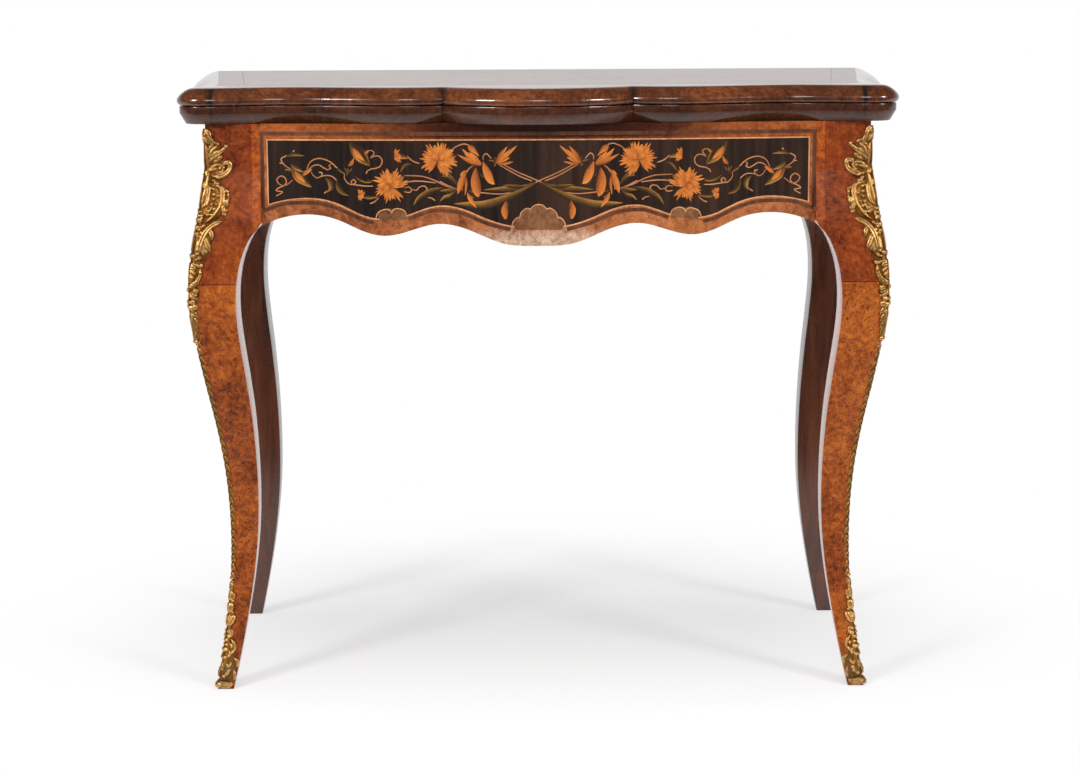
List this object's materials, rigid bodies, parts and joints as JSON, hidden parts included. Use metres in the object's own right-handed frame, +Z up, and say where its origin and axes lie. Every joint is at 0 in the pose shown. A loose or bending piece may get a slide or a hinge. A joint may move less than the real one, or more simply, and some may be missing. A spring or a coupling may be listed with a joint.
{
  "type": "card table",
  "caption": "Swivel and fold-over card table: serpentine top, marquetry frieze, gilt-mounted cabriole legs, baize playing surface and a hidden storage well.",
  "frame": {"origin": "on the floor under the middle of the closed top", "axes": "+X to the right along the front, +Y towards the hinged rear edge, +Z up"},
  "size_m": [0.9428, 0.4671, 0.77],
  "materials": {
    "burr_walnut": "french polished burr walnut",
    "walnut": "polished straight-grained walnut",
    "carcass_oak": "unpolished carcass timber",
    "ebonised_ground": "polished ebonised veneer",
    "boxwood": "polished boxwood",
    "gilt_bronze": "aged gilt bronze casting",
    "hinge_brass": "dulled brass",
    "pivot_iron": "blackened iron",
    "baize": "green woollen baize"
  },
  "bodies": {
    "frame": {"front_right_leg": "burr_walnut", "front_left_leg": "burr_walnut", "right_side_rail": "burr_walnut", "left_side_rail": "burr_walnut", "front_crossband": "burr_walnut", "rear_right_leg": "walnut", "rear_left_leg": "walnut", "rear_rail": "walnut", "front_rail": "carcass_oak", "pivot_rail": "carcass_oak", "well_floor": "carcass_oak", "well_divider": "carcass_oak", "floor_battens": "carcass_oak", "stop_peg": "carcass_oak", "front_panel_veneer": "ebonised_ground", "front_string": "boxwood", "shell_inlays": "boxwood", "right_knee_mount": "gilt_bronze", "left_knee_mount": "gilt_bronze", "right_edge_fillet": "gilt_bronze", "left_edge_fillet": "gilt_bronze", "right_sabot": "gilt_bronze", "left_sabot": "gilt_bronze", "mount_pins": "gilt_bronze", "pivot_bush": "hinge_brass"},
    "lower_leaf": {"lower_leaf_core": "carcass_oak", "lower_leaf_moulding": "burr_walnut", "lower_playing_border": "burr_walnut", "lower_baize": "baize", "pivot_plate": "pivot_iron", "pivot_screws": "pivot_iron", "pivot_washer": "pivot_iron", "pivot_nut": "pivot_iron", "lower_hinge_plates": "hinge_brass", "hinge_pins": "hinge_brass", "lower_hinge_screws": "hinge_brass"},
    "upper_leaf": {"upper_leaf_core": "burr_walnut", "upper_leaf_moulding": "burr_walnut", "upper_playing_border": "burr_walnut", "upper_baize": "baize", "top_field_veneer": "burr_walnut", "top_line": "boxwood", "upper_hinge_plates": "hinge_brass", "upper_hinge_screws": "hinge_brass"}
  },
  "joints": [
    {"name": "top_swivel", "type": "hinge", "parent": "frame", "child": "lower_leaf", "pos_m": [0.106, 0.126, 0.7256], "axis": [0, 0, 1], "range_deg": [0, 90]},
    {"name": "leaf_fold", "type": "hinge", "parent": "lower_leaf", "child": "upper_leaf", "pos_m": [0, 0.232, 0.748], "axis": [-1, 0, 0], "range_deg": [0, 180]}
  ]
}
